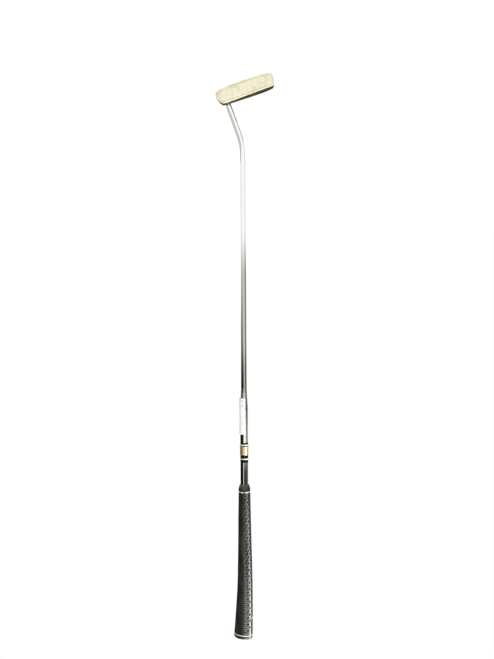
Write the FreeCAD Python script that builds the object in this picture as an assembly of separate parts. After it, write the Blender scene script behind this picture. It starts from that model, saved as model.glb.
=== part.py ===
"""Right-handed mallet putter with a bent steel shaft and a pistol grip, standing at address.

Units are millimetres. +Z is up and the sole rests on the plane z = 0. The striking face looks along
-Y, the toe points along -X and the heel along +X. The origin lies on the flat strip of the sole,
below the middle of the face. The putter has no moving parts.
"""

import FreeCAD
import Part

import math
import os

Vec = FreeCAD.Vector

# Whole club
CLUB_LENGTH = 914.4        # 36 in, along the upper shaft from the ground to the butt of the grip
LIE_DEG = 71.0             # between the upper shaft and the ground
TIP_FORWARD_DEG = 6.0      # the short length above the head leans towards the ball
BEND_HEIGHT = 99.6         # where the two straight lengths of shaft would meet, above the ground
BEND_RADIUS = 100.0        # of the shaft's centre line

# Head
LOFT_DEG = 4.0
LEADING_EDGE_Y = -5.5      # of the face plane at the ground
CROWN_SLOPE_DEG = 0.9      # the crown line drops this much towards the toe
CROWN_HEIGHT = 24.8        # at the middle of the face
HEAD_HALF = 51.0
PLAN_HALF = 51.7           # half length of the head seen from above
HEAD_DEPTH = 28.0          # face to back, at the middle
# Corners of the face in order round it: distance towards the heel, height, corner radius
FACE_CORNERS = [
    (-46.1, 24.35, 7.0),
    (-49.7, 13.6, 18.0),
    (-49.0, 3.7, 5.5),
    (-33.0, 1.6, 120.0),
    (-18.0, 0.2, 150.0),
    (-10.0, 0.0, 60.0),
    (24.0, 0.0, 90.0),
    (38.0, 1.3, 60.0),
    (49.2, 4.2, 7.0),
    (51.5, 12.0, 12.0),
    (46.7, 25.9, 12.0),
]
DOME_RADIUS_TOE = 72.0     # the crown's curve from front to back, at the toe end
DOME_RADIUS_HEEL = 34.0
SOLE_BACK_FILLET = 2.5
SOLE_EDGE_HEIGHT = 5.0     # back edges lower than this belong to the sole
CROWN_BACK_FILLET = 0.6
FACE_EDGE_FILLET = 0.8
LINE_INSET = 2.7           # fine line engraved round the face
LINE_WIDTH = 0.5
LINE_DEPTH = 0.35
POCKET_LENGTH = 54.0       # weight-saving pocket in the sole
POCKET_WIDTH = 12.0
POCKET_DEPTH = 13.0
POCKET_FRONT = 10.2        # behind the leading edge
POCKET_MIDDLE = -3.0
POCKET_CORNER = 4.0

# Socket and shaft
SOCKET_X = 35.3
SOCKET_BEHIND_FACE = 9.4   # at crown height
SOCKET_DEPTH = 19.0
GLUE_GAP = 0.15
TIP_RADIUS = 4.7           # 0.370 in tip
TIP_WALL = 0.65
BUTT_WALL = 0.42
PLUG_LENGTH = 10.0
# Shaft radii, each as (distance from the butt of the grip, outer radius)
SHAFT_STEPS = [
    (5.0, 7.35),
    (110.0, 7.35),
    (120.0, 6.85),
    (222.0, 6.85),
    (232.0, 6.3),
    (373.0, 6.3),
    (379.0, 6.1),
    (401.0, 4.9),
    (408.0, TIP_RADIUS),
]
FLARE_BOTTOM = 401.0       # nearer the head than this the wall is the tip's

# Grip
GRIP_LENGTH = 250.0
CAP_THICKNESS = 5.0
CAP_ROUNDING = 3.0
VENT_RADIUS = 1.5
TAPE_THICKNESS = 0.25
TAPE_ENDS = (8.0, 238.0)
LIP_LENGTH = 11.0
LIP_RADII = (10.1, 9.4, 6.9)   # at the start, middle and end of the bell mouth
# Grip sections: distance from the butt, then flat side, back and half width measured from the
# shaft's axis, and how square the flat side is (2 is round)
GRIP_SECTIONS = [
    (0.0, 12.3, 18.3, 12.4, 3.4),
    (26.0, 12.7, 16.3, 12.4, 3.4),
    (52.0, 12.8, 14.4, 12.4, 3.4),
    (82.0, 12.7, 12.5, 12.3, 3.3),
    (118.0, 12.2, 11.5, 11.9, 3.1),
    (160.0, 11.2, 10.8, 11.1, 2.8),
    (200.0, 10.4, 10.4, 10.4, 2.4),
    (240.0, 9.8, 9.8, 9.8, 2.0),
    (GRIP_LENGTH, 9.8, 9.8, 9.8, 2.0),
]
SECTION_POINTS = 24
RING_DEPTH = 0.4
RING_WIDTH = 1.1
RING_GAP = 1.6
MOUTH_RING = 238.8         # centre, from the butt
BUTT_RING = 6.6
TICK_FROM_BUTT = 33.8
TICK_LENGTH = 1.8
TICK_SIDES = (-12.6, -2.0)  # across the flat side, from its corner nearest the ball
TICK_REACH = 10.8          # from the shaft's axis

# Decal band and paper label on the upper shaft, measured from the butt
BAND_ENDS = (286.7, 319.2)
BAND_FILM = 0.15
GOLD_ENDS = (299.0, 312.7)
GOLD_FILM = 0.6
PIN_RING_WIDTH = 1.8
PIN_RINGS = (292.6, 315.4)
PIN_RING_FILM = 0.7
LABEL_ENDS = (332.9, 392.0)
LABEL_PAPER = 0.12
LABEL_STAND_OFF = 1.3
# Angles round the shaft from the line that faces the ball, positive towards the toe: the free
# edge, where the paper leaves the shaft, where it stands furthest off, where it returns, its end
LABEL_ANGLES = (18.0, -25.0, -90.0, -150.0, -172.0)


# ---------------------------------------------------------------- frames and helpers

LEAN = math.radians(90.0 - LIE_DEG)
FORWARD = math.radians(TIP_FORWARD_DEG)
LOFT = math.radians(LOFT_DEG)
CROWN_SLOPE = math.radians(CROWN_SLOPE_DEG)

UPPER_DIR = Vec(math.sin(LEAN), 0, math.cos(LEAN))
TOE_SIDE = Vec(-math.cos(LEAN), 0, math.sin(LEAN))
TIP_DIR = Vec(0, -math.sin(FORWARD), math.cos(FORWARD))


def face_y(height):
    """Y of the lofted face plane at a height."""
    return LEADING_EDGE_Y + height * math.tan(LOFT)


def crown_z(x):
    """Height of the crown line along the head."""
    return CROWN_HEIGHT + x * math.tan(CROWN_SLOPE)


CROWN_Y = face_y(CROWN_HEIGHT)
HEEL_ARC_RADIUS = (PLAN_HALF ** 2 + HEAD_DEPTH ** 2) / (2 * HEAD_DEPTH)
SOCKET_TOP = Vec(SOCKET_X, CROWN_Y + SOCKET_BEHIND_FACE, crown_z(SOCKET_X))
BEND_VERTEX = SOCKET_TOP + TIP_DIR * ((BEND_HEIGHT - SOCKET_TOP.z) / TIP_DIR.z)
BUTT = BEND_VERTEX + UPPER_DIR * (CLUB_LENGTH - BEND_HEIGHT / UPPER_DIR.z)
TIP_END = SOCKET_TOP - TIP_DIR * SOCKET_DEPTH


def on_upper_shaft(shape):
    """Moves a shape from the shaft's own frame to the club.

    In the shaft's own frame the butt is the origin, +Z runs down the shaft to the head,
    +X is the toe side and +Y the side away from the ball.
    """
    down = UPPER_DIR * -1
    away = down.cross(TOE_SIDE)
    matrix = FreeCAD.Matrix(
        TOE_SIDE.x, away.x, down.x, BUTT.x,
        TOE_SIDE.y, away.y, down.y, BUTT.y,
        TOE_SIDE.z, away.z, down.z, BUTT.z,
        0, 0, 0, 1,
    )
    moved = shape.copy()
    moved.Placement = FreeCAD.Placement(matrix).multiply(shape.Placement)
    return moved


def turned(profile):
    """A solid of revolution about Z from a list of (z, radius)."""
    outline = [Vec(0, 0, profile[0][0])]
    outline += [Vec(radius, 0, z) for z, radius in profile]
    outline += [Vec(0, 0, profile[-1][0]), Vec(0, 0, profile[0][0])]
    face = Part.Face(Part.makePolygon(outline))
    return face.revolve(Vec(0, 0, 0), Vec(0, 0, 1), 360)


def sleeve(inner, outer, ends):
    """A plain tube about Z."""
    start, end = ends
    tube = Part.makeCylinder(outer, end - start, Vec(0, 0, start))
    return tube.cut(Part.makeCylinder(inner, end - start, Vec(0, 0, start)))


def shaft_profile(start, end, extra=0.0):
    """(distance, radius) points of the stepped shaft between two distances from the butt."""

    def radius(distance):
        for (z0, r0), (z1, r1) in zip(SHAFT_STEPS, SHAFT_STEPS[1:]):
            if z0 <= distance <= z1:
                return r0 + (r1 - r0) * (distance - z0) / (z1 - z0)
        return TIP_RADIUS

    inner = [z for z, r in SHAFT_STEPS if start < z < end]
    return [(z, radius(z) + extra) for z in [start] + inner + [end]]


# ---------------------------------------------------------------- shaft

def shaft_core(wall_at, tip_radius, over=0.0):
    """The shaft's outside, or its bore, as one solid: straight tip, bend, stepped upper length."""
    angle = TIP_DIR.getAngle(UPPER_DIR)
    tangent = BEND_RADIUS * math.tan(angle / 2)
    start = BEND_VERTEX - TIP_DIR * tangent
    end = BEND_VERTEX + UPPER_DIR * tangent
    axis = TIP_DIR.cross(UPPER_DIR).normalize()
    centre = start + axis.cross(TIP_DIR) * BEND_RADIUS

    foot = TIP_END - TIP_DIR * over
    tip = Part.makeCylinder(tip_radius, (start - foot).Length, foot, TIP_DIR)
    disc = Part.Face(Part.Wire(Part.makeCircle(tip_radius, start, TIP_DIR)))
    bend = disc.revolve(centre, axis, math.degrees(angle))
    profile = [(z, r - wall_at(z)) for z, r in SHAFT_STEPS]
    profile[0] = (profile[0][0] - over, profile[0][1])
    profile.append(((BUTT - end).Length, tip_radius))
    upper = on_upper_shaft(turned(profile))
    return tip.fuse([bend, upper]).removeSplitter()


def make_shaft():
    """Chrome-plated steel tube, one bend, stepped up in diameter towards the grip."""

    def wall_at(distance):
        return BUTT_WALL if distance < FLARE_BOTTOM else TIP_WALL

    outside = shaft_core(lambda distance: 0.0, TIP_RADIUS)
    bore = shaft_core(wall_at, TIP_RADIUS - TIP_WALL, over=1.0)
    return outside.cut(bore)


def make_tip_plug():
    """Plug inside the tip that keeps adhesive out of the tube."""
    return Part.makeCylinder(TIP_RADIUS - TIP_WALL, PLUG_LENGTH, TIP_END, TIP_DIR)


# ---------------------------------------------------------------- head

def rounded_outline(corners):
    """Closed wire in the XZ plane through corners given as (x, z, radius)."""
    edges = []
    last_end = None
    first_start = None
    count = len(corners)
    for i, (x, z, radius) in enumerate(corners):
        corner = Vec(x, 0, z)
        before = corners[i - 1]
        after = corners[(i + 1) % count]
        to_before = (Vec(before[0], 0, before[1]) - corner).normalize()
        to_after = (Vec(after[0], 0, after[1]) - corner).normalize()
        half = to_before.getAngle(to_after) / 2
        reach = radius / math.tan(half)
        start = corner + to_before * reach
        end = corner + to_after * reach
        inward = (to_before + to_after).normalize()
        middle = corner + inward * (radius / math.sin(half) - radius)
        if last_end is not None:
            edges.append(Part.makeLine(last_end, start))
        else:
            first_start = start
        edges.append(Part.Arc(start, middle, end).toShape())
        last_end = end
    edges.append(Part.makeLine(last_end, first_start))
    return Part.Wire(edges)


def lofted(shape):
    """Leans a shape built on the plane y = 0 back by the loft, onto the face plane."""
    leaned = shape.copy()
    leaned.rotate(Vec(0, 0, 0), Vec(1, 0, 0), -LOFT_DEG)
    leaned.translate(Vec(0, LEADING_EDGE_Y, 0))
    return leaned


def plan_outline(height):
    """The head seen from above: a quarter ellipse at the toe and a flatter round arc at the heel."""
    toe = Vec(-PLAN_HALF, CROWN_Y, height)
    heel = Vec(PLAN_HALF, CROWN_Y, height)
    back = Vec(0, CROWN_Y + HEAD_DEPTH, height)
    ellipse = Part.Ellipse(Vec(0, CROWN_Y, height), PLAN_HALF, HEAD_DEPTH)
    toe_side = Part.ArcOfEllipse(ellipse, math.pi / 2, math.pi).toShape()
    half_turn = math.asin(PLAN_HALF / HEEL_ARC_RADIUS) / 2
    between = Vec(HEEL_ARC_RADIUS * math.sin(half_turn),
                  back.y - HEEL_ARC_RADIUS * (1 - math.cos(half_turn)), height)
    heel_side = Part.Arc(back, between, heel).toShape()
    return Part.Wire([toe_side, Part.makeLine(toe, heel), heel_side])


def head_block():
    """Face outline, plan outline and domed crown, all meeting in one block."""
    reach = 80.0
    outline = rounded_outline(FACE_CORNERS)
    outline.translate(Vec(0, -reach, 0))
    block = Part.Face(outline).extrude(Vec(0, 2 * reach, 0))

    plan = Part.Face(plan_outline(-5)).extrude(Vec(0, 0, 40))
    ahead = Part.makeBox(2 * PLAN_HALF, 20, 40, Vec(-PLAN_HALF, CROWN_Y - 20, -5))
    block = block.common(plan.fuse(ahead))

    taper = (DOME_RADIUS_TOE - DOME_RADIUS_HEEL) / (2 * HEAD_HALF)
    over = 20.0
    radius_toe = DOME_RADIUS_TOE + over * taper
    radius_heel = DOME_RADIUS_HEEL - over * taper
    dome = Part.makeCone(
        radius_toe, radius_heel, 2 * (HEAD_HALF + over),
        Vec(-HEAD_HALF - over, 0, -radius_toe), Vec(1, 0, 0),
    )
    dome.rotate(Vec(-HEAD_HALF - over, 0, 0), Vec(0, 1, 0), -math.degrees(math.atan(taper)))
    dome.rotate(Vec(0, 0, 0), Vec(0, 1, 0), -CROWN_SLOPE_DEG)
    dome.translate(Vec(0, CROWN_Y, CROWN_HEIGHT))
    block = block.common(dome)

    ahead_of_face = Part.makeBox(4 * reach, reach, 4 * reach, Vec(-2 * reach, -reach, -2 * reach))
    return block.cut(lofted(ahead_of_face)).Solids[0]


def rounded_head_block():
    """The head block with the edges of the face, the sole's back edge and the crown's rounded."""
    block = head_block()
    face_edges = [edge for edge in block.Edges if on_face(edge)]
    block = block.makeFillet(FACE_EDGE_FILLET, face_edges)
    back = [edge for edge in block.Edges if on_back_wall(edge)]
    sole = [edge for edge in back if edge.CenterOfMass.z < SOLE_EDGE_HEIGHT]
    block = block.makeFillet(SOLE_BACK_FILLET, sole)
    crown = [edge for edge in block.Edges if on_back_wall(edge) and edge.Length > HEAD_HALF / 2]
    return block.makeFillet(CROWN_BACK_FILLET, crown)


def on_face(edge):
    """True for an edge that lies in the lofted face plane."""
    return all(abs(v.Y - face_y(v.Z)) < 1e-4 for v in edge.Vertexes)


def on_back_wall(edge):
    """True for an edge that runs along the back wall."""

    def off_wall(point):
        deep = point.y - CROWN_Y
        if point.x < 0:
            gap = math.hypot(point.x / PLAN_HALF, deep / HEAD_DEPTH) - 1
        else:
            gap = math.hypot(point.x, deep - HEAD_DEPTH + HEEL_ARC_RADIUS) / HEEL_ARC_RADIUS - 1
        return abs(gap) > 1e-3 or deep < 0

    ends = [v.Point for v in edge.Vertexes]
    return not any(off_wall(point) for point in ends)


def make_face_line():
    """The fine line round the face, as a solid to cut out."""
    outline = rounded_outline(FACE_CORNERS)
    outer = Part.Face(outline.makeOffset2D(-LINE_INSET))
    inner = Part.Face(outline.makeOffset2D(-LINE_INSET - LINE_WIDTH))
    ring = outer.cut(inner).extrude(Vec(0, 2 * LINE_DEPTH, 0))
    ring.translate(Vec(0, -LINE_DEPTH, 0))
    return lofted(ring)


def make_head():
    """Brass head with its socket, the line round the face and the pocket in the sole."""
    head = rounded_head_block()
    socket = Part.makeCylinder(TIP_RADIUS + GLUE_GAP, SOCKET_DEPTH + 20, TIP_END, TIP_DIR)
    pocket = Part.makeBox(
        POCKET_LENGTH, POCKET_WIDTH, POCKET_DEPTH + 5,
        Vec(POCKET_MIDDLE - POCKET_LENGTH / 2, LEADING_EDGE_Y + POCKET_FRONT, -5),
    )
    upright = [e for e in pocket.Edges if abs(e.tangentAt(e.FirstParameter).z) > 0.9]
    pocket = pocket.makeFillet(POCKET_CORNER, upright)
    return head.cut(socket).cut(pocket).cut(make_face_line())


def make_socket_adhesive():
    """Adhesive sleeve between the shaft tip and the socket wall, flush with the crown."""
    outer = Part.makeCylinder(TIP_RADIUS + GLUE_GAP, SOCKET_DEPTH + 20, TIP_END, TIP_DIR)
    inner = Part.makeCylinder(TIP_RADIUS, SOCKET_DEPTH + 20, TIP_END, TIP_DIR)
    return outer.cut(inner).common(rounded_head_block())


# ---------------------------------------------------------------- grip

def grip_section(distance, flat, back, half_width, squareness, inset):
    """Closed curve round the grip: square-cornered on the flat side, round at the back."""
    points = []
    for i in range(SECTION_POINTS):
        angle = 2 * math.pi * i / SECTION_POINTS
        c, s = math.cos(angle), math.sin(angle)
        power = 2 / squareness if c > 0 else 1.0
        reach = flat if c > 0 else back
        x = math.copysign((reach - inset) * abs(c) ** power, c)
        y = math.copysign((half_width - inset) * abs(s) ** power, s)
        points.append(Vec(x, y, distance))
    curve = Part.BSplineCurve()
    curve.interpolate(Points=points, PeriodicFlag=True)
    return Part.Wire(curve.toShape())


def section_at(distance, inset):
    """The grip's section at any distance from the butt, between the ones that are listed."""
    for lower, upper in zip(GRIP_SECTIONS, GRIP_SECTIONS[1:]):
        if lower[0] <= distance <= upper[0]:
            share = (distance - lower[0]) / (upper[0] - lower[0])
            values = [a + (b - a) * share for a, b in zip(lower, upper)]
            return grip_section(*values, inset)
    raise ValueError("outside the grip")


def grip_outside():
    """The grip without its bore: lofted body, rounded cap and bell mouth."""
    sections = [grip_section(*section, 0) for section in GRIP_SECTIONS]
    body = Part.makeLoft(sections, True)
    cap = [e for e in body.Edges if all(abs(v.Z) < 1e-6 for v in e.Vertexes)]
    body = body.makeFillet(CAP_ROUNDING, cap)
    start, middle, end = LIP_RADII
    lip_start = GRIP_LENGTH - LIP_LENGTH
    arc = Part.Arc(
        Vec(start, 0, lip_start),
        Vec(middle, 0, lip_start + LIP_LENGTH / 2),
        Vec(end, 0, GRIP_LENGTH),
    ).toShape()
    rest = Part.makePolygon([
        Vec(end, 0, GRIP_LENGTH), Vec(0, 0, GRIP_LENGTH), Vec(0, 0, -5),
        Vec(40, 0, -5), Vec(40, 0, lip_start), Vec(start, 0, lip_start),
    ])
    bell = Part.Face(Part.Wire([arc] + rest.Edges)).revolve(Vec(0, 0, 0), Vec(0, 0, 1), 360)
    return body.common(bell)


def groove_fill(outside, middle, width):
    """White paint in a shallow groove round the grip, flush with the rubber."""
    slab = Part.makeBox(80, 80, width, Vec(-40, -40, middle - width / 2))
    core = Part.Face(section_at(middle - width / 2, RING_DEPTH)).extrude(Vec(0, 0, width))
    return outside.common(slab).cut(core)


def make_grip_set():
    """The grip with its bore, vent and grooves, and the paint that fills each groove."""
    outside = grip_outside()
    gap = Part.makeBox(RING_GAP, 40, 4, Vec(-RING_GAP / 2, -40, MOUTH_RING - 2))
    mouth_ring = groove_fill(outside, MOUTH_RING, RING_WIDTH).cut(gap)
    butt_ring = groove_fill(outside, BUTT_RING, RING_WIDTH)
    near, far = TICK_SIDES
    tick_box = Part.makeBox(20, far - near, 10, Vec(TICK_REACH, near, TICK_FROM_BUTT - 5))
    tick = groove_fill(outside, TICK_FROM_BUTT, TICK_LENGTH).common(tick_box)
    bore = turned(shaft_profile(CAP_THICKNESS, GRIP_LENGTH + 1, TAPE_THICKNESS))
    vent = Part.makeCylinder(VENT_RADIUS, CAP_THICKNESS + 2, Vec(0, 0, -1))
    grip = outside
    for tool in (bore, vent, mouth_ring, butt_ring, tick):
        grip = grip.cut(tool)
    return {
        "grip": grip,
        "grip_mouth_ring": mouth_ring,
        "grip_butt_ring": butt_ring,
        "grip_tick_mark": tick,
    }


def make_grip_tape():
    """Double-sided tape that holds the grip on the shaft."""
    start, end = TAPE_ENDS
    outer = turned(shaft_profile(start, end, TAPE_THICKNESS))
    return outer.cut(turned(shaft_profile(start, end)))


# ---------------------------------------------------------------- decals

def make_band():
    """Dark film, gold sleeve and two silver rings, in the shaft's own frame."""
    radius = shaft_profile(BAND_ENDS[0], BAND_ENDS[1])[0][1]
    film = radius + BAND_FILM
    rings = []
    for middle in PIN_RINGS:
        ends = (middle - PIN_RING_WIDTH / 2, middle + PIN_RING_WIDTH / 2)
        rings.append(sleeve(film, film + PIN_RING_FILM, ends))
    return {
        "band_film": sleeve(radius, film, BAND_ENDS),
        "band_gold": sleeve(film, film + GOLD_FILM, GOLD_ENDS),
        "band_ring_head_end": rings[1],
        "band_ring_grip_end": rings[0],
    }


def make_label():
    """Paper label stuck round the front of the shaft, standing off it at the heel side."""
    radius = shaft_profile(LABEL_ENDS[0], LABEL_ENDS[0] + 1)[0][1]

    def at(angle_deg, distance):
        angle = math.radians(angle_deg)
        return Vec(distance * math.sin(angle), -distance * math.cos(angle), LABEL_ENDS[0])

    def path(offset):
        edge, leaves, furthest, returns, end = LABEL_ANGLES
        on = radius + offset
        off = radius + LABEL_STAND_OFF + offset
        return [
            Part.Arc(at(edge, on), at((edge + leaves) / 2, on), at(leaves, on)).toShape(),
            Part.Arc(at(leaves, on), at(furthest, off), at(returns, on)).toShape(),
            Part.Arc(at(returns, on), at((returns + end) / 2, on), at(end, on)).toShape(),
        ]

    inner, outer = path(0), path(LABEL_PAPER)
    ends = []
    for angle in (LABEL_ANGLES[0], LABEL_ANGLES[-1]):
        ends.append(Part.makeLine(at(angle, radius), at(angle, radius + LABEL_PAPER)))
    wire = Part.Wire(Part.__sortEdges__(inner + outer + ends))
    return Part.Face(wire).extrude(Vec(0, 0, LABEL_ENDS[1] - LABEL_ENDS[0]))


def make_all():
    """Every piece of the club, by node name."""
    pieces = {
        "putter_head": make_head(),
        "socket_adhesive": make_socket_adhesive(),
        "tip_plug": make_tip_plug(),
        "shaft": make_shaft(),
    }
    on_shaft = {"grip_tape": make_grip_tape(), "price_label": make_label()}
    on_shaft.update(make_band())
    on_shaft.update(make_grip_set())
    for node, shape in on_shaft.items():
        pieces[node] = on_upper_shaft(shape)
    return pieces


os.makedirs("parts", exist_ok=True)
for node, shape in make_all().items():
    print(node, shape.isValid(), len(shape.Solids), round(shape.Volume, 1))
    shape.exportStep("parts/" + node + ".step")
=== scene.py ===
"""Look, light and camera for the putter. Units are metres, in the row frame of the CAD model."""

import math

import bmesh
import bpy
import numpy as np
from mathutils import Matrix, Vector


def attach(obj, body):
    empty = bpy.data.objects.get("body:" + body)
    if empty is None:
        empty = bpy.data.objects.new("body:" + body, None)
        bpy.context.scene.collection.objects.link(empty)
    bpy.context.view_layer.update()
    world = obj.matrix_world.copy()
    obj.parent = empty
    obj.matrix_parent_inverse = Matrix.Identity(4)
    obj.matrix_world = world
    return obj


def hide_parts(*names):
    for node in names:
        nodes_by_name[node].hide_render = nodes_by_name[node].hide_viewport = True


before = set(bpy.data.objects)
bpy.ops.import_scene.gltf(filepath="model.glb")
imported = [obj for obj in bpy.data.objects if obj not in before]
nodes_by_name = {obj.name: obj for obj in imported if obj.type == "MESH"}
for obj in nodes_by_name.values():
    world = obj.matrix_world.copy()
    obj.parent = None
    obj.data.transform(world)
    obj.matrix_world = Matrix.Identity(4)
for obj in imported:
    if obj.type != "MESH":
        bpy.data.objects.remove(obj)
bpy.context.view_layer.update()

MM = 0.001
LEAN = math.radians(19.0)
LOFT = math.radians(4.0)
TIP_FORWARD = math.radians(6.0)
UP_SHAFT = Vector((math.sin(LEAN), 0, math.cos(LEAN)))
TOE = Vector((-math.cos(LEAN), 0, math.sin(LEAN)))
AWAY = Vector((0, 1, 0))
TIP_DIR = Vector((0, -math.sin(TIP_FORWARD), math.cos(TIP_FORWARD)))
LEADING_EDGE_Y = -5.5 * MM

CROWN_HEIGHT = 24.8
CROWN_SLOPE = math.radians(0.9)
SOCKET_X = 35.3
SOCKET_BEHIND_FACE = 9.4
CROWN_AT_SOCKET = CROWN_HEIGHT + SOCKET_X * math.tan(CROWN_SLOPE)
SOCKET_Y = -5.5 + CROWN_HEIGHT * math.tan(LOFT) + SOCKET_BEHIND_FACE
SOCKET_TOP = Vector((SOCKET_X, SOCKET_Y, CROWN_AT_SOCKET)) * MM
BEND_HEIGHT = 99.6
CLUB_LENGTH = 914.4
VERTEX = SOCKET_TOP + TIP_DIR * ((BEND_HEIGHT * MM - SOCKET_TOP.z) / TIP_DIR.z)
BUTT = VERTEX + UP_SHAFT * ((CLUB_LENGTH - BEND_HEIGHT / UP_SHAFT.z) * MM)
SOCKET_DEPTH = 19.0 * MM
BEND_RADIUS = 100.0 * MM
TIP_RADIUS = 4.7

# Outer radius of the shaft along its length, as (distance from the butt, radius) in millimetres
SHAFT_STEPS = [
    (5.0, 7.35), (110.0, 7.35), (120.0, 6.85), (222.0, 6.85), (232.0, 6.3),
    (373.0, 6.3), (379.0, 6.1), (401.0, 4.9), (408.0, TIP_RADIUS),
]


def on_shaft(distance, toe=0.0, away=0.0):
    """A point given from the butt along the upper shaft, towards the toe and away from the ball."""
    return BUTT - UP_SHAFT * distance + TOE * toe + AWAY * away


# ---------------------------------------------------------------- mesh helpers

def linked(name, data):
    """A new object that holds the data, in the scene."""
    obj = bpy.data.objects.new(name, data)
    bpy.context.scene.collection.objects.link(obj)
    return obj


def grid_mesh(name, points):
    """A closed mesh from a (rows, columns, 3) array of points that go round in each row."""
    rows, cols, _ = points.shape
    faces = []
    for i in range(rows - 1):
        for j in range(cols):
            k = (j + 1) % cols
            faces.append((i * cols + j, i * cols + k, (i + 1) * cols + k, (i + 1) * cols + j))
    faces.append(tuple(range(cols))[::-1])
    faces.append(tuple((rows - 1) * cols + j for j in range(cols)))
    mesh = bpy.data.meshes.new(name)
    mesh.from_pydata(points.reshape(-1, 3).tolist(), [], faces)
    mesh.update()
    for polygon in mesh.polygons:
        polygon.use_smooth = True
    return outward(linked(name, mesh))


def outward(obj):
    """Turns all faces of a closed mesh outward."""
    work = bmesh.new()
    work.from_mesh(obj.data)
    bmesh.ops.recalc_face_normals(work, faces=work.faces)
    work.to_mesh(obj.data)
    work.free()
    return obj


def smooth_interp(x, xs, ys):
    """Cubic Hermite interpolation with tangents that don't overshoot."""
    xs, ys = np.asarray(xs, float), np.asarray(ys, float)
    slope = np.diff(ys) / np.diff(xs)
    tangent = np.zeros_like(ys)
    tangent[1:-1] = np.where(slope[:-1] * slope[1:] > 0, (slope[:-1] + slope[1:]) / 2, 0)
    tangent[0], tangent[-1] = slope[0], slope[-1]
    i = np.clip(np.searchsorted(xs, x) - 1, 0, len(xs) - 2)
    h = xs[i + 1] - xs[i]
    t = (np.asarray(x) - xs[i]) / h
    a = ys[i] * (1 + 2 * t) * (1 - t) ** 2 + h * tangent[i] * t * (1 - t) ** 2
    return a + ys[i + 1] * t * t * (3 - 2 * t) + h * tangent[i + 1] * t * t * (t - 1)


# ---------------------------------------------------------------- shaft

TIP_ROWS, BEND_ROWS, UPPER_ROWS, FLARE_ROWS = 12, 40, 220, 60
FLARE = (366.0, 414.0)    # from the butt, where the rows lie closer together
SHAFT_START = 5.0         # from the butt, inside the grip
SHAFT_COLS = 96


def make_shaft():
    """Smooth outside of the shaft: tip in the socket, bend, flare and stepped upper length."""
    angle = TIP_DIR.angle(UP_SHAFT)
    tangent = BEND_RADIUS * math.tan(angle / 2)
    foot = SOCKET_TOP - TIP_DIR * SOCKET_DEPTH
    start = VERTEX - TIP_DIR * tangent
    end = VERTEX + UP_SHAFT * tangent
    axis = TIP_DIR.cross(UP_SHAFT).normalized()
    centre = start + axis.cross(TIP_DIR) * BEND_RADIUS
    path = []
    for i in range(TIP_ROWS):
        path.append((foot.lerp(start, i / TIP_ROWS), TIP_DIR, TIP_RADIUS))
    for i in range(BEND_ROWS + 1):
        turn = Matrix.Rotation(angle * i / BEND_ROWS, 3, axis)
        path.append((centre + turn @ (start - centre), turn @ TIP_DIR, TIP_RADIUS))
    total = (BUTT - end).length / MM
    stops = set(np.linspace(SHAFT_START, total - 2.0, UPPER_ROWS).round(2).tolist())
    stops |= set(distance for distance, radius in SHAFT_STEPS)
    stops |= set(np.linspace(*FLARE, FLARE_ROWS).round(2).tolist())
    distances, radii = zip(*SHAFT_STEPS)
    for distance in sorted(stops, reverse=True):
        radius = float(np.interp(distance, distances, radii))
        path.append((on_shaft(distance * MM), UP_SHAFT, radius))
    rows = []
    for point, direction, radius in path:
        other = direction.cross(axis)
        ring = []
        for j in range(SHAFT_COLS):
            a = 2 * math.pi * j / SHAFT_COLS
            ring.append(list(point + (axis * math.cos(a) + other * math.sin(a)) * (radius * MM)))
        rows.append(ring)
    obj = grid_mesh("shaft_tube", np.array(rows))
    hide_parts("shaft")
    return obj


# ---------------------------------------------------------------- grip

# Distance from the butt, flat side, back, half width, squareness of the flat side
GRIP_SECTIONS = [
    (0.0, 12.3, 18.3, 12.4, 3.4), (26.0, 12.7, 16.3, 12.4, 3.4), (52.0, 12.8, 14.4, 12.4, 3.4),
    (82.0, 12.7, 12.5, 12.3, 3.3), (118.0, 12.2, 11.5, 11.9, 3.1), (160.0, 11.2, 10.8, 11.1, 2.8),
    (200.0, 10.4, 10.4, 10.4, 2.4), (240.0, 9.8, 9.8, 9.8, 2.0), (250.0, 9.8, 9.8, 9.8, 2.0),
]
GRIP_COLS = 200
CAP_ROUNDING = 3.0
BELL_START, BELL_LENGTH, BELL_INSET = 239.0, 11.0, 3.0
MOUTH_RING, BUTT_RING, RING_WIDTH = 238.8, 6.6, 1.1
RING_GAP_HALF = 0.8                       # half the gap in the ring near the mouth
TICK_FROM_BUTT, TICK_LENGTH = 33.8, 1.8
TICK_SIDES = (-14.6, -1.6)                # round the grip from the middle of its flat side
GROOVE_DEPTH, GROOVE_MARGIN = 0.3, 0.1    # the rubber lies this much below and beyond the paint
PATTERN_ENDS, PATTERN_FADE = (12.0, 232.0), 2.0
DIMPLE_PITCH, DIMPLE_COLUMN = 10.4, 3.4   # along the grip and round it
DIMPLE_HALF = (1.7, 1.25)
DIMPLE_DEPTH = 0.55
DIMPLED_HALF, DIMPLED_FADE = 18.6, 0.8    # how far round from the middle of the flat side they go
RIB_PITCH, RIB_DEPTH = 3.1, 0.16
WEAVE = (1.55, 1.7)


def grip_rows():
    """Distance of each row from the butt. The last ones turn into the mouth, back along the bore."""
    return np.concatenate([
        [0.0, 0.08, 0.25, 0.5, 0.85, 1.25, 1.7, 2.2, 2.7, 3.1, 3.6],
        np.arange(4.0, 240.0, 0.42),
        np.arange(240.0, 249.9, 0.4), [249.9, 250.0, 250.0, 250.0, 249.0, 247.0],
    ])


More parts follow.
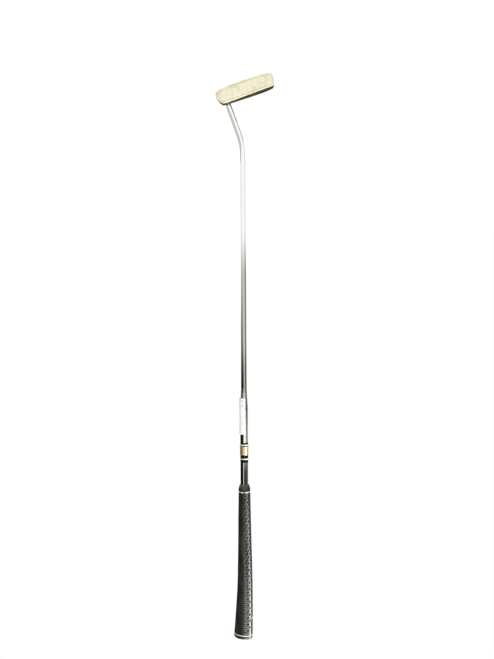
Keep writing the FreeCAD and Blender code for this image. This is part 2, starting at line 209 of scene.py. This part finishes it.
def grip_sections(s):
    """The plain section at each row, and how far round it each point lies, evenly spaced."""
    table = np.array(GRIP_SECTIONS)
    theta = np.linspace(0, 2 * math.pi, GRIP_COLS, endpoint=False)
    c, n = np.cos(theta)[None, :], np.sin(theta)[None, :]
    flat = smooth_interp(s, table[:, 0], table[:, 1])[:, None]
    back = smooth_interp(s, table[:, 0], table[:, 2])[:, None]
    half = smooth_interp(s, table[:, 0], table[:, 3])[:, None]
    square = smooth_interp(s, table[:, 0], table[:, 4])[:, None]
    power = np.where(c > 0, 2 / square, 1.0)
    x = np.where(c > 0, flat, back) * np.sign(c) * np.abs(c) ** power
    y = half * np.sign(n) * np.abs(n) ** power

    closed_x = np.concatenate([x, x[:, :1]], axis=1)
    closed_y = np.concatenate([y, y[:, :1]], axis=1)
    length = np.hypot(np.diff(closed_x, axis=1), np.diff(closed_y, axis=1))
    along = np.concatenate([np.zeros((len(s), 1)), np.cumsum(length, axis=1)], axis=1)
    girth = along[:, -1:]
    for i in range(len(s)):
        even = np.linspace(0, girth[i, 0], GRIP_COLS, endpoint=False)
        x[i] = np.interp(even, along[i], closed_x[i])
        y[i] = np.interp(even, along[i], closed_y[i])
    around = np.linspace(0, 1, GRIP_COLS, endpoint=False)[None, :] * girth
    around = np.where(around > girth / 2, around - girth, around)
    return x, y, around, girth


def grip_inset(s):
    """How far the rounded cap and the bell mouth draw each row in."""
    inset = np.zeros(len(s))
    near = s < CAP_ROUNDING
    inset[near] = CAP_ROUNDING - np.sqrt(CAP_ROUNDING ** 2 - (CAP_ROUNDING - s[near]) ** 2)
    share = np.clip((s - BELL_START) / BELL_LENGTH, 0, 1)
    inset = inset + BELL_INSET * np.clip(share - 0.08, 0, 1) ** 2.0
    inset[-5:-3] = (3.0, 3.1)
    inset[-3:] = (3.2, 3.2, 3.2)
    return inset[:, None]


def grip_relief(rows, around, girth):
    """Depth of the dimples, ribs and paint grooves, and where the dimples are."""
    column = np.round(around / DIMPLE_COLUMN)
    phase = np.where(column % 2 == 0, 0.0, 0.5)
    cell = rows / DIMPLE_PITCH + phase
    off_s = (cell - np.round(cell)) * DIMPLE_PITCH
    off_a = around - column * DIMPLE_COLUMN
    half_s, half_a = DIMPLE_HALF
    dimple = np.clip(1 - (off_s / half_s) ** 2 - (off_a / half_a) ** 2, 0, 1) ** 0.5
    on_flat = np.clip((DIMPLED_HALF - np.abs(around)) / DIMPLED_FADE, 0, 1)
    start, end = PATTERN_ENDS
    body = np.clip((rows - start) / PATTERN_FADE, 0, 1) * np.clip((end - rows) / PATTERN_FADE, 0, 1)
    weave = np.cos(math.pi * rows / WEAVE[0]) * np.cos(math.pi * around / WEAVE[1])
    ribs = 0.5 - 0.35 * np.cos(2 * math.pi * rows / RIB_PITCH) - 0.15 * weave
    pits = dimple * on_flat * body
    depth = DIMPLE_DEPTH * pits + RIB_DEPTH * ribs * (1 - on_flat) * body
    in_gap = np.abs(around + girth / 4) < RING_GAP_HALF
    half_ring = RING_WIDTH / 2 + GROOVE_MARGIN
    depth = depth + GROOVE_DEPTH * ((np.abs(rows - MOUTH_RING) < half_ring) & ~in_gap)
    depth = depth + GROOVE_DEPTH * (np.abs(rows - BUTT_RING) < half_ring)
    tick = np.abs(rows - TICK_FROM_BUTT) < TICK_LENGTH / 2 + GROOVE_MARGIN
    tick = tick & (around > TICK_SIDES[0]) & (around < TICK_SIDES[1])
    return np.where(tick, GROOVE_DEPTH, depth), pits


def make_grip():
    """Rubber grip with its bell mouth, rounded cap, vent, dimpled flat side and fine ribs."""
    s = grip_rows()
    rows = s[:, None]
    x, y, around, girth = grip_sections(s)

    # outward direction in the section
    dx = np.roll(x, -1, axis=1) - np.roll(x, 1, axis=1)
    dy = np.roll(y, -1, axis=1) - np.roll(y, 1, axis=1)
    size = np.hypot(dx, dy)
    nx, ny = dy / size, -dx / size

    depth, pits = grip_relief(rows, around, girth)
    total = grip_inset(s) + depth
    x, y = x - nx * total, y - ny * total
    points = np.array(BUTT)[None, None, :] - np.array(UP_SHAFT) * rows[:, :, None] * MM
    points = points + np.array(TOE) * x[:, :, None] * MM + np.array(AWAY) * y[:, :, None] * MM
    whole = with_vent(points)
    obj = grid_mesh("grip_rubber", whole)
    # the dimples are stored as the 'pit' attribute, which the rubber uses for its dullness and its
    # painted shade
    values = np.zeros(whole.shape[:2])
    values[len(whole) - len(points):] = pits
    layer = obj.data.attributes.new("pit", "FLOAT", "POINT")
    layer.data.foreach_set("value", values.ravel())
    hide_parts("grip")
    return obj


def with_vent(points):
    """Adds rows that carry the cap inwards to the vent hole and down into it."""
    extra = []
    for radius, deep in ((1.5, 3.5), (1.5, 0.3), (1.8, 0.0)):
        ring = []
        for a in np.linspace(0, 2 * math.pi, GRIP_COLS, endpoint=False):
            ring.append(list(on_shaft(deep * MM, radius * MM * math.cos(a), radius * MM * math.sin(a))))
        extra.append(ring)
    middle = np.array(BUTT)
    between = [(middle + (points[0] - middle) * share).tolist() for share in (0.35, 0.7, 0.92)]
    return np.concatenate([np.array(extra), np.array(between), points], axis=0)


# ---------------------------------------------------------------- label

LABEL_ENDS = (332.9, 392.0)
LABEL_ROWS, LABEL_COLS = 60, 72
PAPER = 0.12
STUCK_RADIUS, STAND_OFF = 6.32, 1.3
# Angle round the shaft (0 is the ball side, negative towards the heel) and radius of the paper
LABEL_STOPS = [
    (18.0, STUCK_RADIUS), (-4.0, STUCK_RADIUS), (-25.0, 6.33), (-45.0, 6.88), (-68.0, 7.40),
    (-90.0, 7.60), (-112.0, 7.45), (-134.0, 6.88), (-150.0, 6.34), (-172.0, STUCK_RADIUS),
]


def make_label():
    """Paper label stuck round the ball side of the shaft and standing off it at the heel side."""
    angles = np.linspace(LABEL_STOPS[0][0], LABEL_STOPS[-1][0], LABEL_COLS)
    radii = smooth_interp(-angles, [-a for a, r in LABEL_STOPS], [r for a, r in LABEL_STOPS])
    start, end = LABEL_ENDS
    outer, inner = [], []
    for distance in np.linspace(start, end, LABEL_ROWS):
        share = (distance - start) / (end - start)
        wave = 0.10 * math.sin(9.0 * share + 0.6) + 0.05 * math.sin(23.0 * share)
        for rows, lift in ((outer, PAPER), (inner, 0.0)):
            row = []
            for a, r in zip(angles, radii):
                loose = (r - STUCK_RADIUS) / STAND_OFF
                radius = (r + lift + wave * loose) * MM
                t = math.radians(a)
                row.append(list(on_shaft(distance * MM, radius * math.sin(t), -radius * math.cos(t))))
            rows.append(row)
    obj = grid_mesh("label_sheet", np.concatenate([np.array(outer), np.array(inner)[:, ::-1]], axis=1))
    layer = obj.data.uv_layers.new(name="UVMap")
    for loop in obj.data.loops:
        i, j = divmod(loop.vertex_index, 2 * LABEL_COLS)
        across = j if j < LABEL_COLS else 2 * LABEL_COLS - 1 - j
        layer.data[loop.index].uv = (i / (LABEL_ROWS - 1), across / (LABEL_COLS - 1))
    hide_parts("price_label")
    return obj


# ---------------------------------------------------------------- materials

class Nodes:
    """Small helper for building a node tree."""

    def __init__(self, tree):
        self.tree = tree
        tree.nodes.clear()

    def add(self, kind, inputs=None, **settings):
        node = self.tree.nodes.new(kind)
        for key, value in settings.items():
            setattr(node, key, value)
        for key, value in (inputs or {}).items():
            self.put(node.inputs[key], value)
        return node

    def put(self, socket, value):
        if isinstance(value, bpy.types.NodeSocket):
            self.tree.links.new(value, socket)
        else:
            socket.default_value = value

    def math(self, operation, a, b=0.0, c=0.0):
        return self.add("ShaderNodeMath", {0: a, 1: b, 2: c}, operation=operation).outputs[0]

    def dot(self, vector, direction):
        inputs = {0: vector, 1: tuple(direction)}
        return self.add("ShaderNodeVectorMath", inputs, operation="DOT_PRODUCT").outputs["Value"]

    def band(self, value, low, high, to_low=0.0, to_high=1.0):
        node = self.add("ShaderNodeMapRange", {
            "Value": value, "From Min": low, "From Max": high, "To Min": to_low, "To Max": to_high,
        }, interpolation_type="SMOOTHSTEP")
        return node.outputs["Result"]

    def mix(self, factor, a, b):
        node = self.add("ShaderNodeMix", data_type="RGBA")
        self.put(node.inputs[0], factor)
        self.put(node.inputs[6], a)
        self.put(node.inputs[7], b)
        return node.outputs[2]

    def noise(self, vector, scale, detail=3.0, roughness=0.55):
        node = self.add("ShaderNodeTexNoise", {
            "Vector": vector, "Scale": scale, "Detail": detail, "Roughness": roughness,
        })
        return node.outputs["Fac"]

    def bump(self, height, strength, distance):
        node = self.add("ShaderNodeBump", {
            "Height": height, "Strength": strength, "Distance": distance,
        })
        return node.outputs["Normal"]


def start_material(name):
    """A material with its nodes, its shader and the position that patterns follow."""
    mat = bpy.data.materials.new(name)
    mat.use_nodes = True
    nodes = Nodes(mat.node_tree)
    out = nodes.add("ShaderNodeOutputMaterial")
    shader = nodes.add("ShaderNodeBsdfPrincipled")
    nodes.tree.links.new(shader.outputs[0], out.inputs["Surface"])
    place = nodes.add("ShaderNodeTexCoord")
    return mat, nodes, shader, place.outputs["Object"]


def stretched(nodes, place, along, across):
    """Object position scaled differently along the upper shaft and across it."""
    x = nodes.math("MULTIPLY", nodes.dot(place, UP_SHAFT), along)
    y = nodes.math("MULTIPLY", nodes.dot(place, TOE), across)
    z = nodes.math("MULTIPLY", nodes.dot(place, AWAY), across)
    return nodes.add("ShaderNodeCombineXYZ", {0: x, 1: y, 2: z}).outputs[0]


def head_material():
    """Pale satin brass on the face with painted shade in the groove of its cut line, dark oxidised
    bronze on the crown, sole and back.
    """
    mat, nodes, shader, place = start_material("head_brass")
    # distance behind the face plane tells the face from its rounded rim, its cut line and the rest
    normal_to_face = (0.0, math.cos(LOFT), -math.sin(LOFT))
    face_at = LEADING_EDGE_Y * math.cos(LOFT)
    behind = nodes.math("SUBTRACT", nodes.dot(place, normal_to_face), face_at)
    not_face = nodes.band(behind, 0.04 * MM, 0.22 * MM)
    body = nodes.band(behind, 0.5 * MM, 1.2 * MM)
    blotch = nodes.noise(place, 260.0, 5.0, 0.62)
    patch = nodes.noise(place, 70.0, 3.0)
    fine = nodes.noise(place, 1700.0, 4.0, 0.7)
    speckle = nodes.noise(place, 620.0, 3.0, 0.6)
    face = nodes.mix(nodes.band(blotch, 0.38, 0.62), (0.73, 0.69, 0.53, 1), (0.79, 0.76, 0.61, 1))
    face = nodes.mix(nodes.band(patch, 0.50, 0.66, 0.0, 0.55), face, (0.55, 0.51, 0.355, 1))
    face = nodes.mix(nodes.band(speckle, 0.46, 0.66, 0.0, 0.7), face, (0.47, 0.435, 0.30, 1))
    rim = nodes.mix(nodes.band(blotch, 0.3, 0.7), (0.32, 0.28, 0.16, 1), (0.42, 0.375, 0.24, 1))
    # painted shade: the floor of the cut line's groove gets this darker tan and its walls the darker
    # rim tone, in place of the shade inside the groove
    groove_shade = nodes.mix(nodes.band(behind, 0.26 * MM, 0.32 * MM), rim, (0.38, 0.32, 0.18, 1))
    rim = nodes.mix(nodes.band(behind, 0.36 * MM, 0.42 * MM), groove_shade, rim)
    tone = nodes.band(patch, 0.35, 0.65)
    dark = nodes.mix(tone, (0.055, 0.049, 0.030, 1), (0.085, 0.074, 0.045, 1))
    dark = nodes.mix(nodes.band(fine, 0.55, 0.8, 0.0, 0.3), dark, (0.12, 0.10, 0.060, 1))
    nodes.put(shader.inputs["Base Color"], nodes.mix(body, nodes.mix(not_face, face, rim), dark))
    nodes.put(shader.inputs["Metallic"], nodes.band(body, 0.0, 1.0, 0.6, 0.45))
    nodes.put(shader.inputs["Specular Tint"], nodes.mix(body, (1, 1, 1, 1), (0.25, 0.21, 0.13, 1)))
    rough = nodes.band(body, 0.0, 1.0, 0.42, 0.46)
    rough = nodes.math("ADD", rough, nodes.band(fine, 0.3, 0.7, -0.05, 0.08))
    nodes.put(shader.inputs["Roughness"], rough)
    nodes.put(shader.inputs["Normal"], nodes.bump(fine, 0.25, 0.00008))
    return mat


def chrome_material():
    """Bright plating with fine drawn streaks and a few dull specks."""
    mat, nodes, shader, place = start_material("shaft_chrome")
    streak = nodes.noise(stretched(nodes, place, 40.0, 2600.0), 1.0, 3.0)
    speck = nodes.noise(place, 900.0, 4.0, 0.7)
    color = nodes.mix(nodes.band(speck, 0.62, 0.75), (0.95, 0.95, 0.94, 1), (0.74, 0.72, 0.68, 1))
    nodes.put(shader.inputs["Base Color"], color)
    shader.inputs["Metallic"].default_value = 1.0
    nodes.put(shader.inputs["Roughness"], nodes.band(streak, 0.3, 0.7, 0.025, 0.06))
    nodes.put(shader.inputs["Normal"], nodes.bump(streak, 0.05, 0.00002))
    return mat


def rubber_material():
    """Black rubber, slightly worn, that goes dull in the dimples, where painted shade darkens its
    colour.
    """
    mat, nodes, shader, place = start_material("grip_rubber")
    grain = nodes.noise(place, 2600.0, 4.0, 0.7)
    wear = nodes.noise(stretched(nodes, place, 30.0, 90.0), 1.0, 3.0)
    worn = nodes.band(wear, 0.35, 0.7)
    color = nodes.mix(worn, (0.014, 0.014, 0.010, 1), (0.027, 0.027, 0.020, 1))
    pit = nodes.add("ShaderNodeAttribute", attribute_name="pit").outputs["Fac"]
    hole = nodes.band(pit, 0.15, 0.6)
    # painted shade: the base colour goes near black inside the dimples
    nodes.put(shader.inputs["Base Color"], nodes.mix(hole, color, (0.006, 0.006, 0.004, 1)))
    skin = nodes.band(wear, 0.3, 0.7, 0.24, 0.32)
    rough = nodes.math("ADD", skin, nodes.math("MULTIPLY", hole, 0.5))
    nodes.put(shader.inputs["Roughness"], rough)
    nodes.put(shader.inputs["Specular IOR Level"], nodes.band(hole, 0.0, 1.0, 0.72, 0.1))
    nodes.put(shader.inputs["Normal"], nodes.bump(grain, 0.25, 0.00010))
    return mat


def label_material():
    """White paper with two plain grey marks near the end towards the head."""
    mat, nodes, shader, place = start_material("label_paper")
    uv = nodes.add("ShaderNodeUVMap").outputs[0]
    u, v = nodes.add("ShaderNodeSeparateXYZ", {0: uv}).outputs[:2]
    fibre = nodes.noise(place, 1500.0, 4.0, 0.7)
    marks = 0.0
    for at_u, at_v in ((0.93, 0.22), (0.80, 0.23)):
        off_u = nodes.math("ABSOLUTE", nodes.math("SUBTRACT", u, at_u))
        off_v = nodes.math("ABSOLUTE", nodes.math("SUBTRACT", v, at_v))
        mark = nodes.math("MULTIPLY", nodes.band(off_u, 0.016, 0.030, 1.0, 0.0),
                          nodes.band(off_v, 0.045, 0.07, 1.0, 0.0))
        marks = nodes.math("ADD", mark, marks)
    paper = nodes.mix(nodes.band(fibre, 0.3, 0.7), (0.69, 0.69, 0.675, 1), (0.73, 0.73, 0.71, 1))
    color = nodes.mix(nodes.math("MULTIPLY", marks, 0.6), paper, (0.25, 0.25, 0.26, 1))
    nodes.put(shader.inputs["Base Color"], color)
    shader.inputs["Roughness"].default_value = 0.75
    nodes.put(shader.inputs["Normal"], nodes.bump(fibre, 0.15, 0.00008))
    return mat


def gold_material():
    """Slightly crinkled gold foil."""
    mat, nodes, shader, place = start_material("band_gold_foil")
    crinkle = nodes.noise(place, 420.0, 4.0, 0.6)
    color = nodes.mix(nodes.band(crinkle, 0.35, 0.65), (0.92, 0.78, 0.42, 1), (1.0, 0.90, 0.58, 1))
    nodes.put(shader.inputs["Base Color"], color)
    shader.inputs["Metallic"].default_value = 0.85
    shader.inputs["Roughness"].default_value = 0.30
    nodes.put(shader.inputs["Normal"], nodes.bump(crinkle, 0.2, 0.0002))
    return mat


def plain_material(name, low, high, roughness, metallic=0.0, gloss=0.5):
    """Two close tones mixed by fine noise, with a matching bump."""
    mat, nodes, shader, place = start_material(name)
    grain = nodes.noise(place, 900.0, 4.0, 0.65)
    tones = nodes.mix(nodes.band(grain, 0.35, 0.65), low + (1,), high + (1,))
    nodes.put(shader.inputs["Base Color"], tones)
    shader.inputs["Metallic"].default_value = metallic
    rough = nodes.band(grain, 0.3, 0.7, roughness - 0.04, roughness + 0.05)
    nodes.put(shader.inputs["Roughness"], rough)
    shader.inputs["Specular IOR Level"].default_value = gloss
    nodes.put(shader.inputs["Normal"], nodes.bump(grain, 0.15, 0.00006))
    return mat


def wear(obj, mat, slot):
    """Puts one material on the object. The slot argument is not used."""
    obj.data.materials.clear()
    obj.data.materials.append(mat)


def smooth_cad(obj):
    """Smooth shading with the sharp edges of the CAD mesh kept."""
    for polygon in obj.data.polygons:
        polygon.use_smooth = True
    obj.data.set_sharp_from_angle(angle=math.radians(30.0))


# ---------------------------------------------------------------- pieces

shaft = make_shaft()
grip = make_grip()
label = make_label()
for piece in (shaft, grip, label):
    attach(piece, "root")

wear(shaft, chrome_material(), "shaft_chrome")
wear(grip, rubber_material(), "grip_rubber")
wear(label, label_material(), "label_paper")
wear(nodes_by_name["putter_head"], head_material(), "head_brass")
wear(nodes_by_name["band_gold"], gold_material(), "band_gold_foil")

black_film = plain_material("band_dark_film", (0.003,) * 3, (0.006,) * 3, 0.16, gloss=0.25)
silver = plain_material("band_silver", (0.93, 0.92, 0.87), (0.98, 0.97, 0.92), 0.25, metallic=0.45)
paint = plain_material("grip_white_paint", (0.72, 0.71, 0.64), (0.80, 0.79, 0.72), 0.5)
epoxy = plain_material("adhesive", (0.30, 0.26, 0.18), (0.40, 0.36, 0.25), 0.4)
plug = plain_material("plug_plastic", (0.10,) * 3, (0.14,) * 3, 0.5)
tape = plain_material("tape_paper", (0.74, 0.70, 0.58), (0.82, 0.78, 0.66), 0.8)
wear(nodes_by_name["band_film"], black_film, "band_dark_film")
for name in ("band_ring_head_end", "band_ring_grip_end"):
    wear(nodes_by_name[name], silver, "band_silver")
for name in ("grip_mouth_ring", "grip_butt_ring", "grip_tick_mark"):
    wear(nodes_by_name[name], paint, "grip_white_paint")
wear(nodes_by_name["socket_adhesive"], epoxy, "adhesive")
wear(nodes_by_name["tip_plug"], plug, "plug_plastic")
wear(nodes_by_name["grip_tape"], tape, "tape_paper")
for name in ("putter_head", "band_film", "band_gold", "band_ring_head_end", "band_ring_grip_end",
             "socket_adhesive", "tip_plug", "grip_tape"):
    smooth_cad(nodes_by_name[name])

# ---------------------------------------------------------------- studio

# Dark panels round the club, as its reflections see them: direction round the upper shaft in degrees
# (0 is the ball side, positive towards the toe), half width, soft edge, the four stops along the
# shaft's direction between which the panel fades in and out again, and how dark it is
PANELS = [
    (-88.0, 38.0, 34.0, (-0.20, 0.06, 2.0, 3.0), 0.85),
    (-100.0, 60.0, 50.0, (0.03, 0.12, 2.0, 3.0), 0.95),
    (-60.0, 58.0, 32.0, (0.02, 0.09, 0.15, 0.20), 0.45),
    (95.0, 45.0, 30.0, (0.02, 0.08, 0.14, 0.20), 0.45),
    (100.0, 30.0, 36.0, (-0.20, -0.09, 2.0, 3.0), 0.66),
    (10.0, 60.0, 40.0, (-0.19, -0.10, 0.12, 0.20), 0.42),
    (22.0, 34.0, 16.0, (0.22, 0.27, 2.0, 3.0), 0.96),
    (100.0, 40.0, 30.0, (0.22, 0.27, 2.0, 3.0), 0.55),
    (-85.0, 12.0, 18.0, (-0.9, -0.7, 2.0, 3.0), 0.30),
    (80.0, 12.0, 18.0, (-0.9, -0.7, 2.0, 3.0), 0.30),
]
# Soft boxes, given like the panels, with how bright they are: a slit that the bare steel beside the
# grip's mouth shows, a tall one for the grip's edge, and a wide one for the butt
SOFT_BOXES = [
    (-22.0, 3.0, 6.0, (0.22, 0.25, 0.30, 0.33), 0.8),
    (54.0, 12.0, 14.0, (0.34, 0.47, 0.50, 0.62), 25.0),
    (26.0, 20.0, 22.0, (0.51, 0.59, 0.80, 0.88), 9.5),
]


def make_world():
    """White to the camera. Everything else sees a pale room with dark panels and soft boxes."""
    world = bpy.data.worlds.new("studio")
    bpy.context.scene.world = world
    world.use_nodes = True
    nodes = Nodes(world.node_tree)
    direction = nodes.add("ShaderNodeTexCoord").outputs["Generated"]
    along = nodes.dot(direction, UP_SHAFT)
    toe = nodes.dot(direction, TOE)
    ball = nodes.dot(direction, -AWAY)
    turn = nodes.math("MULTIPLY", nodes.math("ARCTAN2", toe, ball), 180.0 / math.pi)

    def window(centre, half, soft, stops, height):
        off = nodes.math("ABSOLUTE", nodes.math("SUBTRACT", turn, centre))
        shape = nodes.band(off, half, half + soft, 1.0, 0.0)
        rise = nodes.band(along, stops[0], stops[1], 0.0, height)
        fall = nodes.band(along, stops[2], stops[3], 1.0, 0.0)
        return nodes.math("MULTIPLY", nodes.math("MULTIPLY", shape, rise), fall)

    level = 1.0
    for panel in PANELS:
        level = nodes.math("MULTIPLY", nodes.math("SUBTRACT", 1.0, window(*panel)), level)
    for box in SOFT_BOXES:
        level = nodes.math("ADD", level, window(*box))
    # the darker, the warmer
    paler = nodes.math("MINIMUM", level, 1.0)
    green = nodes.math("MULTIPLY", level, nodes.band(paler, 0.0, 1.0, 0.96, 0.995))
    blue = nodes.math("MULTIPLY", level, nodes.band(paler, 0.0, 1.0, 0.84, 0.98))
    tint = nodes.add("ShaderNodeCombineColor", {0: level, 1: green, 2: blue}).outputs[0]
    room = nodes.add("ShaderNodeBackground", {"Color": tint})
    white = nodes.add("ShaderNodeBackground", {"Color": (1, 1, 1, 1), "Strength": 1.0})
    ray = nodes.add("ShaderNodeLightPath").outputs["Is Camera Ray"]
    pick = nodes.add("ShaderNodeMixShader", {0: ray, 1: room.outputs[0], 2: white.outputs[0]})
    nodes.add("ShaderNodeOutputWorld", {"Surface": pick.outputs[0]})


def studio_card(name, radius, turn, ends, color):
    """A glowing curved card round the shaft's tip that only reflections see."""
    ahead = (VERTEX - SOCKET_TOP).normalized()
    side = (TOE - ahead * TOE.dot(ahead)).normalized()
    ball = side.cross(ahead)
    if ball.dot(AWAY) > 0:
        ball = -ball
    rows = []
    for angle in np.radians(np.linspace(turn[0], turn[1], 24)):
        out = (ball * math.cos(angle) + side * math.sin(angle)) * radius
        rows.append([list(SOCKET_TOP + ahead * end + out) for end in ends])
    faces = [(2 * i, 2 * i + 1, 2 * i + 3, 2 * i + 2) for i in range(len(rows) - 1)]
    mesh = bpy.data.meshes.new(name)
    mesh.from_pydata([point for row in rows for point in row], [], faces)
    card = linked(name, mesh)
    mat, _, shader, _ = start_material(name)
    shader.inputs["Base Color"].default_value = (0, 0, 0, 1)
    shader.inputs["Roughness"].default_value = 0.9
    shader.inputs["Emission Color"].default_value = color
    shader.inputs["Emission Strength"].default_value = 1.0
    mesh.materials.append(mat)
    card.visible_camera = False
    card.visible_diffuse = False
    card.visible_shadow = False


FLOOR_HALF = 12.0
FLOOR_Z = -0.4 * MM    # just below the sole


def make_floor():
    """Plain pale floor, lit so evenly that it meets the background without an edge."""
    mesh = bpy.data.meshes.new("floor")
    corners = [(-1, -1), (1, -1), (1, 1), (-1, 1)]
    mesh.from_pydata([(FLOOR_HALF * x, FLOOR_HALF * y, 0) for x, y in corners], [], [(0, 1, 2, 3)])
    floor = linked("floor", mesh)
    floor.location.z = FLOOR_Z
    mat, nodes, shader, place = start_material("floor_white")
    grain = nodes.noise(place, 60.0, 2.0)
    tones = nodes.mix(grain, (0.12, 0.12, 0.12, 1), (0.13, 0.13, 0.13, 1))
    nodes.put(shader.inputs["Base Color"], tones)
    shader.inputs["Roughness"].default_value = 1.0
    shader.inputs["Specular IOR Level"].default_value = 0.0
    shader.inputs["Emission Color"].default_value = (1, 1, 1, 1)
    shader.inputs["Emission Strength"].default_value = 0.91
    mesh.materials.append(mat)
    floor.visible_glossy = False


def soft_lamp(name, at, size, power):
    """A big soft lamp, aimed at the middle of the club, that reflections don't see."""
    data = bpy.data.lights.new(name, "AREA")
    data.shape = "DISK"
    data.size = size
    data.energy = power
    lamp = linked(name, data)
    lamp.location = at
    lamp.rotation_euler = (Vector(at) - on_shaft(0.45)).to_track_quat("Z", "Y").to_euler()
    lamp.visible_camera = False
    lamp.visible_glossy = False


make_world()
make_floor()
soft_lamp("lamp_front", (1.6, -1.6, 0.8), 1.6, 3.4)
soft_lamp("lamp_back", (-0.8, 1.8, 1.4), 1.6, 3.0)
card_ends = (-0.050, 0.034)
studio_card("card_heel_side", 0.10, (-165.0, -22.0), card_ends, (0.48, 0.56, 0.50, 1))
studio_card("card_toe_side", 0.10, (96.0, 160.0), card_ends, (0.30, 0.25, 0.22, 1))

# ---------------------------------------------------------------- camera

# It looks straight away from the ball, with the upper shaft almost upright and the head at the top
TILT = math.radians(0.286)
DISTANCE = 0.84385
AIM_FROM_BUTT, AIM_RIGHT = 0.5050, 0.0055
right = TOE * math.cos(TILT) + UP_SHAFT * math.sin(TILT)
top = TOE * math.sin(TILT) - UP_SHAFT * math.cos(TILT)
back = -AWAY
middle = on_shaft(AIM_FROM_BUTT) + right * AIM_RIGHT
camera_data = bpy.data.cameras.new("camera")
camera_data.sensor_width = 36.0
camera_data.lens = 27.96
camera_data.clip_start = 0.01
camera = linked("camera", camera_data)
turn = Matrix((right, top, back)).transposed()
camera.matrix_world = Matrix.Translation(middle + back * DISTANCE) @ turn.to_4x4()
bpy.context.scene.camera = camera
bpy.context.scene.view_settings.view_transform = "Standard"
